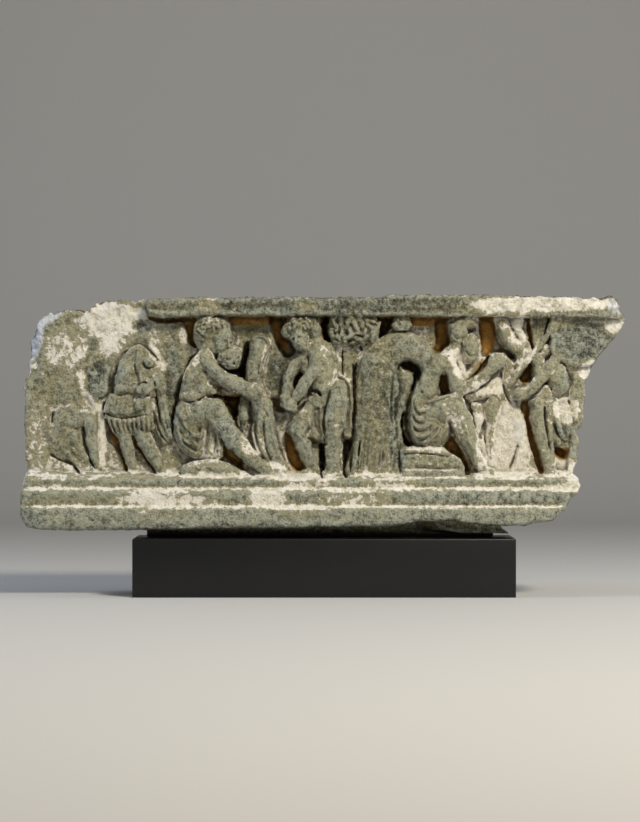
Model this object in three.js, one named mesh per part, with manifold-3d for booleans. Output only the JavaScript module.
// Fragment of a carved schist frieze, resting on a black display block.
//
// Millimetres, +Z up, the carved face looks along -Y and the origin is under the middle of the whole.
// The carving is described in the panel's own terms: x to the right, z up and `out`, the distance in
// front of the ground of the relief. All the carving is one stone, so all of it is joined in one solid.

import * as THREE from 'three';
import { mergeVertices } from 'three/addons/utils/BufferGeometryUtils.js';
import Module from 'manifold-3d';

const wasm = await Module();
wasm.setup();

// ---------------------------------------------------------------- driving dimensions

// The block under the stone.
const BLOCK = { left: -160, right: 167, front: 46.5, back: -38.5, height: 50 };
const JOINT_GAP = 0.3;

// The stone: its back, the fronts of its mouldings and the heights where they change.
const STONE = { left: -258, right: 263, back: -30, fasciaFront: 38 };
const LEDGE = 103;
const TOP_FILLET = { start: -149, low: 241, high: 259, front: 26 };
const BED = { left: -150, right: 150, front: 15 };

// Where the origin lies in the panel's own frame.
const CENTRE = { x: (STONE.left + STONE.right) / 2, out: (BLOCK.front + BLOCK.back) / 2 };

// How round the carving is cut.
const LIMB_SIDES = 6;
const FOLD_SIDES = 4;
const SMALL_MASS = 10;
const ROUND_END = 0.62;
const FOLD_END = 0.6;
const PLEAT = { rise: 0.35, fall: 0.7 };
const BURIED = -6;
const FOREMOST = 60;
const WELD = 1e-3;

// ---------------------------------------------------------------- solids

/** Turns a closed three.js geometry into a solid that can be joined and cut. */
function solid(geometry) {
  const bare = geometry.index ? geometry.clone() : geometry;
  bare.deleteAttribute('normal');
  bare.deleteAttribute('uv');
  const merged = mergeVertices(bare, WELD);
  return new wasm.Manifold(new wasm.Mesh({
    numProp: 3,
    vertProperties: new Float32Array(merged.attributes.position.array),
    triVerts: new Uint32Array(merged.index.array),
  }));
}

/** Turns a solid back into a named mesh. */
function meshOf(shape, name, material) {
  const { vertProperties, triVerts } = shape.getMesh();
  const geometry = new THREE.BufferGeometry();
  geometry.setAttribute('position', new THREE.BufferAttribute(vertProperties, 3));
  geometry.setIndex(new THREE.BufferAttribute(triVerts, 1));
  geometry.computeVertexNormals();
  const mesh = new THREE.Mesh(geometry, material);
  mesh.name = name;
  return mesh;
}

/** Joins a list of solids. */
function join(shapes) {
  return shapes.reduce((whole, shape) => whole.add(shape));
}

/** A point of the panel's frame as a vector: `out` runs along -Y. */
function at(x, z, out) {
  return new THREE.Vector3(x, -out, z);
}

/** Extrudes an outline of [x, z] pairs from one distance in front of the ground to another. */
function pad(outline, low, high, bevel = 0) {
  const section = new THREE.Shape(outline.map(([x, z]) => new THREE.Vector2(x, z)));
  const geometry = new THREE.ExtrudeGeometry(section, {
    depth: high - low - bevel,
    bevelEnabled: bevel > 0,
    bevelThickness: bevel,
    bevelSize: bevel,
    bevelOffset: -bevel,
    bevelSegments: 1,
    curveSegments: 4,
  });
  geometry.rotateX(Math.PI / 2);
  geometry.translate(0, -low, 0);
  return solid(geometry);
}

/** The same with a smooth closed outline through a few points. */
function softPad(points, low, high, bevel = 3, steps = 14) {
  const curve = new THREE.SplineCurve([...points, points[0]].map(([x, z]) => new THREE.Vector2(x, z)));
  const outline = curve.getSpacedPoints(steps).slice(0, -1).map((p) => [p.x, p.y]);
  return pad(outline, low, high, bevel);
}

/** A tapering round form through nodes of [x, z, out, radius], flat at its start and rounded at its end. */
function limb(nodes, sides = LIMB_SIDES) {
  const middles = nodes.map(([x, z, out]) => at(x, z, out));
  const curve = new THREE.CatmullRomCurve3(middles, false, 'centripetal');
  const last = nodes.length - 1;
  const rings = nodes.map((node, i) => ({ share: i / last, radius: node[3], push: 0 }));
  rings.push({ share: 1, radius: nodes[last][3] * ROUND_END, push: nodes[last][3] * ROUND_END });

  const geometry = new THREE.CylinderGeometry(1, 1, 1, sides, rings.length - 1);
  const position = geometry.attributes.position;
  const vertex = new THREE.Vector3();
  for (let i = 0; i < position.count; i++) {
    vertex.fromBufferAttribute(position, i);
    const ring = rings[Math.round((0.5 - vertex.y) * (rings.length - 1))];
    const along = curve.getTangent(ring.share);
    const across = new THREE.Vector3(0, -1, 0).cross(along).normalize();
    const forward = new THREE.Vector3().crossVectors(along, across).normalize();
    const centre = curve.getPoint(ring.share).addScaledVector(along, ring.push);
    centre.addScaledVector(across, vertex.x * ring.radius);
    centre.addScaledVector(forward, -vertex.z * ring.radius);
    position.setXYZ(i, centre.x, centre.y, centre.z);
  }
  return outward(geometry);
}

/** The solid of a closed geometry, with its faces turned over if they point inwards. */
function outward(geometry) {
  const shape = solid(geometry);
  if (shape.volume() > 0) return shape;
  const turned = mergeVertices(geometry, WELD);
  const index = turned.index;
  for (let i = 0; i < index.count; i += 3) {
    const first = index.getX(i);
    index.setX(i, index.getX(i + 2));
    index.setX(i + 2, first);
  }
  return solid(turned);
}

/** An ellipsoid: half sizes across, up and outwards, turned in the plane of the panel by degrees. */
function mass([x, z, out], [across, up, outwards], turn = 0) {
  const geometry = new THREE.IcosahedronGeometry(1, Math.max(across, up) > SMALL_MASS ? 1 : 0);
  geometry.scale(across, outwards, up);
  geometry.rotateY(THREE.MathUtils.degToRad(-turn));
  geometry.translate(x, -out, z);
  return solid(geometry);
}

/** A raised fold of cloth along nodes of [x, z, out], thickest in the middle. */
function fold(nodes, radius) {
  const thin = radius * FOLD_END;
  return limb(nodes.map(([x, z, out], i) => {
    const atEnd = i === 0 || i === nodes.length - 1;
    return [x, z, out, atEnd ? thin : radius];
  }), FOLD_SIDES);
}

/**
 * A band of hanging pleats: a zigzag section, extruded from the hem up to the top line. `top` and
 * `hem` are [left, right, z]; the front stands `out` before the ground and each pleat is `deep`.
 */
function pleatedBand(count, top, hem, out, deep) {
  const section = new THREE.Shape();
  section.moveTo(0, BURIED);
  section.lineTo(0, out - deep);
  for (let i = 0; i < count; i++) {
    section.lineTo((i + PLEAT.rise) / count, out);
    section.lineTo((i + PLEAT.fall) / count, out);
    section.lineTo((i + 1) / count, out - deep);
  }
  section.lineTo(1, BURIED);
  const geometry = new THREE.ExtrudeGeometry(section, { depth: 1, bevelEnabled: false });
  const position = geometry.attributes.position;
  for (let i = 0; i < position.count; i++) {
    const height = position.getZ(i);
    const left = THREE.MathUtils.lerp(hem[0], top[0], height);
    const right = THREE.MathUtils.lerp(hem[1], top[1], height);
    const x = THREE.MathUtils.lerp(left, right, position.getX(i));
    position.setXYZ(i, x, -position.getY(i), THREE.MathUtils.lerp(hem[2], top[2], height));
  }
  return outward(geometry);
}

/** A plain head: skull, jaw and nose. `face` is half its height, `look` the side it faces, -1 or 1. */
function head([x, z, out], face, look, lean) {
  const turned = face * 0.4 * look;
  return [
    mass([x, z + face * 0.22, out], [face * 0.8, face * 0.82, face * 0.8], lean),
    mass([x + turned, z - face * 0.3, out + face * 0.12], [face * 0.58, face * 0.7, face * 0.58], lean),
    mass([x + turned * 2, z - face * 0.1, out + face * 0.35], [face * 0.16, face * 0.3, face * 0.3], lean),
  ];
}

// ---------------------------------------------------------------- the stone itself

/** The broken edge of the whole stone, seen from the front, from the lower left corner round. */
function brokenOutline() {
  const bottom = [[-253, 59], [-240, 57], [-165, 56.5], [-85, 58], [-14, 57.5], [-9, 59.5], [60, 59.5],
    [82, 64], [112, 65.5], [140, 60.5], [175, 60], [200, 64.5]];
  const right = [[205, 70], [213, 75], [215, 82], [223, 90], [224, 96], [217, 105], [223, 120], [224, 135],
    [221, 141], [227, 155], [229, 182], [237, 201], [248, 216], [260, 231], [STONE.right, 237], [258, 247],
    [254.5, 256]];
  const top = [[250, 257.5], [242, 255], [228, 255], [200, 256.5], [150, 258], [58, 258.5], [49, 256.5],
    [-60, 256.5], [-172, 253.5], [-190, 251], [-204, 243.6], [-215, 245], [-232, 243]];
  const left = [[-243, 235], [-250, 218], [-249, 207], [-254.5, 186], [-254, 140], [-252, 112],
    [-255.5, 97], [STONE.left, 90], [STONE.left, 70]];
  return [...bottom, ...right, ...top, ...left];
}

/** The mouldings under the figures: two fasciae, a narrow fillet and the ledge, worn at their edges. */
function baseMoulding() {
  const profile = [
    [STONE.back, 50], [STONE.fasciaFront - 2, 50], [STONE.fasciaFront, 61], [STONE.fasciaFront, 75.5],
    [34, 78.5], [33.5, 90], [29.5, 93.5], [29, 101], [26.5, LEDGE], [STONE.back, LEDGE],
  ];
  const section = new THREE.Shape(profile.map(([out, z]) => new THREE.Vector2(-out, z)));
  const length = STONE.right - STONE.left;
  const geometry = new THREE.ExtrudeGeometry(section, { depth: length, bevelEnabled: false });
  geometry.rotateX(Math.PI / 2);
  geometry.rotateZ(Math.PI / 2);
  geometry.translate(STONE.left, 0, 0);
  return solid(geometry);
}

/** The fillet along the top, from its broken left end to the right edge, and the lip under that end. */
function topFillet() {
  const { start, low, high, front } = TOP_FILLET;
  return [
    pad([[start + 8, low], [STONE.right, low], [STONE.right, high], [start + 6, high], [start, high - 6],
      [start, low + 4]], BURIED, front, 2),
    limb([[start + 4, low - 1, 14, 3.4], [-132, low, 15, 3.6], [-118, low + 2, 15, 3]], 6),
  ];
}

/** The ground of the relief, with the parts that stand higher because they broke off in one plane. */
function ground() {
  return [
    pad(brokenOutline(), STONE.back, 0),
    pad([[-262, 164], [-203, 164], [-186, 172], [-182, 200], [-160, 214], [-136, 200], [-126, 168],
      [-116, 200], [-101, 213], [-117, 235], [-146, 238], [-146, 262], [-262, 262]], BURIED, 8, 3),
    pad([[-262, 104], [-240, 104], [-237, 122], [-237, 156], [-240, 166], [-262, 166]], BURIED, 12, 3),
    pad([[197, 244], [197, 216], [205, 205], [214, 196], [214, 172], [222, 170], [268, 238], [264, 244]],
      BURIED, 19, 3),
    pad([[212, 174], [214, 150], [216, 104], [232, 104], [232, 178]], BURIED, 12, 2),
  ];
}

/** The underside: a layer seen behind the chipped front edge, and the bed on which the stone rests. */
function underside() {
  const bedLow = BLOCK.height + JOINT_GAP;
  return [
    pad([[98, 70], [98, 62], [103, 57], [122, 54], [163, 53.6], [150, 62]], STONE.back, 22),
    pad([[BED.left, bedLow], [BED.right, bedLow], [BED.right, 70], [BED.left, 70]], STONE.back, BED.front),
  ];
}

// ---------------------------------------------------------------- the figures, from left to right

/** A small worn figure sitting on the ground with its knees drawn up. */
function wornSitter() {
  return [
    mass([-222, 147, 7], [15, 14, 10]),
    limb([[-224, 140, 12, 7], [-212, 150, 13, 6.5], [-198, 151, 13, 6.8]]),
    limb([[-198, 150, 13, 6.6], [-196, 135, 12, 6.2], [-193, 112, 10, 5]]),
    limb([[-226, 134, 13, 6], [-216, 124, 12, 5], [-204, 109, 9, 3.8]]),
  ];
}

/** A standing soldier without his head: cloak, strap, belt, kilt in two tiers of pleats, two legs. */
function soldier() {
  return [
    softPad([[-177, 180], [-176, 198], [-168, 210], [-157, 217], [-146, 211], [-137, 200], [-134, 184],
      [-142, 172], [-160, 170]], BURIED, 18, 4),
    mass([-166, 189, 18], [9.5, 12.5, 9], 8),
    mass([-147, 202, 22], [5.5, 6, 5]),
    limb([[-156, 208, 17, 2.4], [-154, 196, 18, 2.6], [-152, 182, 18, 2.6]], FOLD_SIDES),
    mass([-152, 177, 24], [7, 6.4, 6.5]),
    mass([-155, 165.5, 22], [5, 6.2, 5.5], 20),
    pleatedBand(8, [-181, -150, 176], [-186, -146, 157], 20, 3),
    pleatedBand(9, [-184, -148, 157], [-174, -145, 138], 18, 3.5),
    limb([[-168, 140, 12, 6.5], [-165, 126, 13, 5.6], [-159, 113, 11, 4.8], [-157, 104, 13, 4]]),
    limb([[-153, 142, 14, 8], [-150, 132, 15, 7.6], [-143, 120, 13, 5.6], [-134, 105, 13, 4.2]]),
    limb([[-139, 200, 14, 5.5], [-138, 184, 15, 5.4], [-135, 160, 15, 4.8], [-127, 137, 17, 5]]),
    limb([[-142, 168, 10, 3.4], [-141, 152, 12, 3.2], [-137, 137, 13, 4.4]], 6),
  ];
}

/** A seated, bearded man facing right, one arm stretched forward, his hips wrapped in a cloth. */
function elder() {
  return [
    softPad([[-123, 100], [-117, 110], [-102, 116], [-86, 115], [-74, 109], [-60, 100]], BURIED, 26, 2, 12),
    softPad([[-122, 168], [-127, 152], [-122, 132], [-110, 118], [-92, 116], [-84, 122], [-84, 142],
      [-82, 158], [-100, 172]], BURIED, 23, 5, 12),
    limb([[-112, 148, 20, 11], [-100, 158, 25, 10.5], [-91, 160, 27, 10.2]]),
    limb([[-91, 160, 27, 10], [-84, 148, 27, 9.2], [-57, 118, 22, 6.4], [-42, 110, 23, 5],
      [-36, 107.5, 24, 4]]),
    limb([[-107, 174, 18, 13], [-107, 188, 19, 14], [-101, 201, 18, 11.5], [-94, 213, 19, 8]]),
    limb([[-97, 203, 24, 8.5], [-90, 193, 28, 8], [-76, 184, 29, 6.9], [-56, 176, 28, 6.4]]),
    ...head([-88, 222, 23], 13.5, 1, -15),
    mass([-95, 232, 21], [14.5, 11, 12], 15),
    limb([[-82, 212, 25, 7.6], [-75, 206, 26, 8], [-71, 203, 26, 6]]),
    ...[
      [[-98, 160, 27], [-101, 145, 27], [-108, 120, 21]],
      [[-91, 150, 30], [-94, 136, 25], [-96, 117, 22]],
      [[-121, 160, 22], [-115, 147, 23], [-103, 135, 24]],
      [[-124, 148, 21], [-117, 134, 22], [-104, 127, 23]],
    ].map((path) => fold(path, 2.4)),
  ];
}

/** The upright form that the old man holds, draped below his fist, and the hand behind it. */
function drapedTrunk() {
  return [
    limb([[-55, 175, 19, 7.5], [-58, 185, 18, 6.4], [-58, 195, 18, 6], [-54, 206, 18, 7.2],
      [-50, 216, 16, 9]]),
    limb([[-54, 172, 20, 8], [-48, 164, 21, 8.2], [-45, 150, 20, 7.4], [-41, 133, 18, 7.2],
      [-35, 108, 17, 7.2]]),
    limb([[-66, 174, 2, 5], [-66.5, 160, 10, 6.5], [-66, 148, 13, 5.4]]),
    pad([[-72, 142], [-62, 140], [-42, 112], [-28, 100], [-62, 100]], BURIED, 9, 3),
    limb([[-54, 160, 16, 5], [-54, 142, 11, 6], [-50, 122, 10, 6]]),
    fold([[-47, 152, 27], [-47, 138, 25], [-44, 118, 23]], 2.2),
  ];
}

/** A young man bending to the left with clasped hands, a cloth round his hips. */
function youth() {
  return [
    limb([[-6, 210, 19, 9], [0, 200, 20, 14], [2, 188, 20, 13.5], [2, 170, 20, 10]]),
    limb([[-14, 214, 20, 6.5], [-6, 218, 19, 7], [-2, 210, 20, 7]]),
    ...head([-18, 224, 22], 12.5, -1, 18),
    mass([-14, 234, 19], [14.5, 9.5, 12], -5),
    mass([-4, 229, 20], [6, 8, 8]),
    limb([[-16, 204, 14, 6], [-25, 195, 15, 5.6], [-28.5, 183, 18, 5.2], [-27, 168, 23, 5.4]]),
    limb([[2, 204, 27, 7.6], [-3, 193, 29, 7], [-11, 182, 29, 5.8], [-20, 171, 27, 5.2]]),
    mass([-27, 167, 24], [7, 6, 6.4]),
    limb([[-10, 167, 10, 5.5], [-24, 155, 9, 5.8], [-37, 146, 6, 5.6]], 6),
    softPad([[-10, 170], [-20, 159], [-26, 147], [-14, 139], [0, 132], [6, 140], [9, 158], [8, 168]],
      BURIED, 20, 4),
    limb([[-10, 160, 17, 9], [-19, 147, 20, 9.4], [-14, 129, 18, 7.2], [-7, 112, 15, 5.2],
      [-12, 104, 17, 4]]),
    limb([[14, 178, 22, 9.5], [14.5, 166, 24, 9.6], [9, 130, 18, 7.4], [8, 105, 16, 5]]),
    limb([[14, 188, 16, 4.6], [23, 180, 16, 5], [26, 166, 14, 5], [25, 140, 13, 4.6]]),
    fold([[-6, 164, 20], [-6, 150, 20], [0, 137, 19]], 2.2),
  ];
}

/** A tree behind: two stems and a ball of leaves in rows. */
function tree() {
  const crown = { x: 29, z: 231, across: 22, up: 16, out: 21 };
  const leaves = [];
  for (let row = -1; row <= 1; row++) {
    for (let column = -1; column <= 1; column++) {
      const x = crown.x + column * 14 + row * 2;
      const out = crown.out + 6 - Math.abs(row) * 3 - Math.abs(column) * 2;
      leaves.push(mass([x, crown.z + row * 9, out], [9, 5.5, 6], 20 * column));
    }
  }
  return [
    limb([[14, 214, 8, 6], [14, 200, 8, 5.5], [15, 188, 8, 5.2]], 6),
    limb([[30, 216, 9, 7], [27, 204, 9, 5.5], [26, 190, 8, 5]], 6),
    mass([crown.x, crown.z, crown.out - 5], [crown.across, crown.up, 12]),
    ...leaves,
  ];
}

/** A robed figure seen from behind, bowed to the right, with a knob above its shoulder. */
function bowedFigure() {
  return [
    softPad([[30, 165], [31, 190], [38, 208], [50, 221], [66, 227], [80, 225], [92, 213], [97, 203],
      [86, 193], [77, 202], [67, 193], [66, 170]], BURIED, 22, 5, 18),
    pleatedBand(8, [30, 67, 168], [22, 69, 100], 21, 4),
    mass([50, 185, 16], [17, 36, 12], -3),
    limb([[56, 212, 18, 11], [70, 214, 20, 10.5], [82, 210, 20, 9.5], [90, 202, 18, 6.5]]),
    mass([70, 235, 18], [8, 7.5, 8]),
    fold([[44, 212, 26], [42, 190, 28], [40, 165, 27]], 2.2),
    fold([[52, 184, 28], [57, 172, 27], [57, 156, 25]], 2.2),
    pad([[64, 100], [72, 100], [74, 160], [78, 188], [74, 196], [66, 192]], BURIED, 7, 2),
  ];
}

/** A seated figure facing right, its cloak slung round its hips in long curved folds, on a low seat. */
function cloakedSitter() {
  const swags = [0, 1, 2].map((i) => {
    const lower = i * 10.5;
    return fold([[80 - i, 178 - lower, 20], [83 - i, 164 - lower, 24], [95, 160 - lower * 0.95, 26],
      [108, 168 - lower, 27]], 2.6);
  });
  return [
    pad([[69, 100], [71, 122], [80, 127], [106, 127], [118, 122], [126, 100]], BURIED, 25, 3),
    softPad([[84, 184], [76, 160], [76, 140], [86, 129], [106, 129], [116, 148], [121, 164], [100, 168]],
      BURIED, 22, 5),
    limb([[90, 144, 20, 13], [104, 158, 25, 11], [116, 163, 27, 9.8]]),
    limb([[116, 163, 27, 9.6], [123, 150, 25, 8.6], [130, 132, 22, 7.2], [139, 114, 19, 5.4],
      [149, 106, 20, 3.8]]),
    limb([[95, 176, 18, 12], [98, 188, 19, 12.5], [106, 199, 19, 11], [114, 210, 19, 8]]),
    mass([118, 228, 20], [10.5, 13, 11], -8),
    limb([[112, 200, 24, 7], [116, 190, 28, 7], [119, 181, 28, 6.6]]),
    limb([[119, 181, 28, 6.4], [133, 184, 27, 5.5], [150, 198, 25, 5.6]]),
    mass([153, 202, 25], [7, 7, 6.5]),
    mass([130.5, 214, 18], [7.5, 14, 9], 8),
    limb([[121, 208, 16, 4], [126, 196, 17, 4.5], [134, 186, 19, 5]], 6),
    ...swags,
  ];
}

/** A small worn figure between the seated one and the group on the right. */
function child() {
  return [
    mass([149, 162, 16], [8, 12, 8], 8),
    mass([134, 160, 14], [5.5, 8, 7]),
    limb([[134, 158, 14, 5.6], [137, 150, 14, 4.8], [136, 138, 12, 3.8], [140, 126, 11, 3.4],
      [143, 110, 10, 3.4]], 5),
    limb([[149, 155, 14, 5], [147, 142, 13, 4], [146, 130, 11, 3.6], [147, 110, 9, 3.2]], 6),
    limb([[136, 172, 12, 5], [148, 178, 12, 6], [160, 186, 12, 6]], 6),
    pad([[152, 168], [164, 178], [168, 160], [178, 164], [188, 100], [150, 100], [148, 130]], BURIED, 7, 3),
  ];
}

/** The branch that bends over the group, the reeds beside it and the staff that crosses them. */
function boughAndReeds() {
  return [
    limb([[154, 246, 14, 6], [155, 234, 17, 7], [158, 223, 19, 7.5], [166, 214, 19, 7.5],
      [173, 206, 16, 5.5], [174, 198, 14, 4.5]]),
    limb([[163, 246, 10, 4.4], [168, 232, 12, 4.4], [176, 221, 13, 4.2], [181, 210, 13, 3.8]], 6),
    pad([[180, 246], [182, 222], [184, 211], [190, 212], [196, 224], [199, 246]], BURIED, 12, 2),
    ...[0, 1, 2].map((i) => fold(
      [[185 + i, 212, 12], [184 + i * 4.5, 226, 12], [182 + i * 7, 240, 12]],
      1.8,
    )),
    limb([[166, 182, 15, 3.8], [178, 202, 18, 3.8], [189, 214, 19, 3.4], [203, 240, 20, 2.8]], 6),
  ];
}

/** The man at the right, worn down, one forearm held across him. */
function strider() {
  return [
    mass([190, 197, 10], [8, 14, 12], -6),
    limb([[206, 208, 16, 6], [193, 191, 24, 6.4], [182, 180, 25, 6], [169, 174, 24, 5.8]]),
    mass([205, 185, 16], [9, 13, 14], -4),
    limb([[196, 174, 16, 7], [190, 163, 17, 7.4], [190, 150, 17, 6.8], [194, 130, 15, 5.4],
      [199, 105, 14, 4.6]]),
    limb([[201, 172, 14, 4.4], [203, 152, 14, 4.4], [208, 136, 14, 5.2]], 6),
    pad([[199, 172], [216, 170], [219, 150], [216, 138], [208, 130], [202, 131]], BURIED, 13, 3),
  ];
}

// ---------------------------------------------------------------- the two pieces

function reliefPanel() {
  const carved = join([
    ...ground(),
    baseMoulding(),
    ...topFillet(),
    ...wornSitter(),
    ...soldier(),
    ...elder(),
    ...drapedTrunk(),
    ...youth(),
    ...tree(),
    ...bowedFigure(),
    ...cloakedSitter(),
    ...child(),
    ...boughAndReeds(),
    ...strider(),
  ]);
  const trimmed = carved.intersect(pad(brokenOutline(), STONE.back, FOREMOST));
  const stone = join([trimmed, ...underside()]);
  const material = new THREE.MeshStandardMaterial({ color: '#7c7d6c', roughness: 0.88, metalness: 0 });
  return meshOf(stone, 'relief_panel', material);
}

function displayBlock() {
  const width = BLOCK.right - BLOCK.left;
  const depth = BLOCK.front - BLOCK.back;
  const geometry = new THREE.BoxGeometry(width, depth, BLOCK.height);
  const material = new THREE.MeshStandardMaterial({ color: '#121213', roughness: 0.42, metalness: 0 });
  const mesh = new THREE.Mesh(geometry, material);
  mesh.position.set((BLOCK.left + BLOCK.right) / 2, -CENTRE.out, BLOCK.height / 2);
  mesh.name = 'display_block';
  return mesh;
}

const part = new THREE.Group();
part.position.set(-CENTRE.x, CENTRE.out, 0);
part.add(displayBlock(), reliefPanel());

export default part;
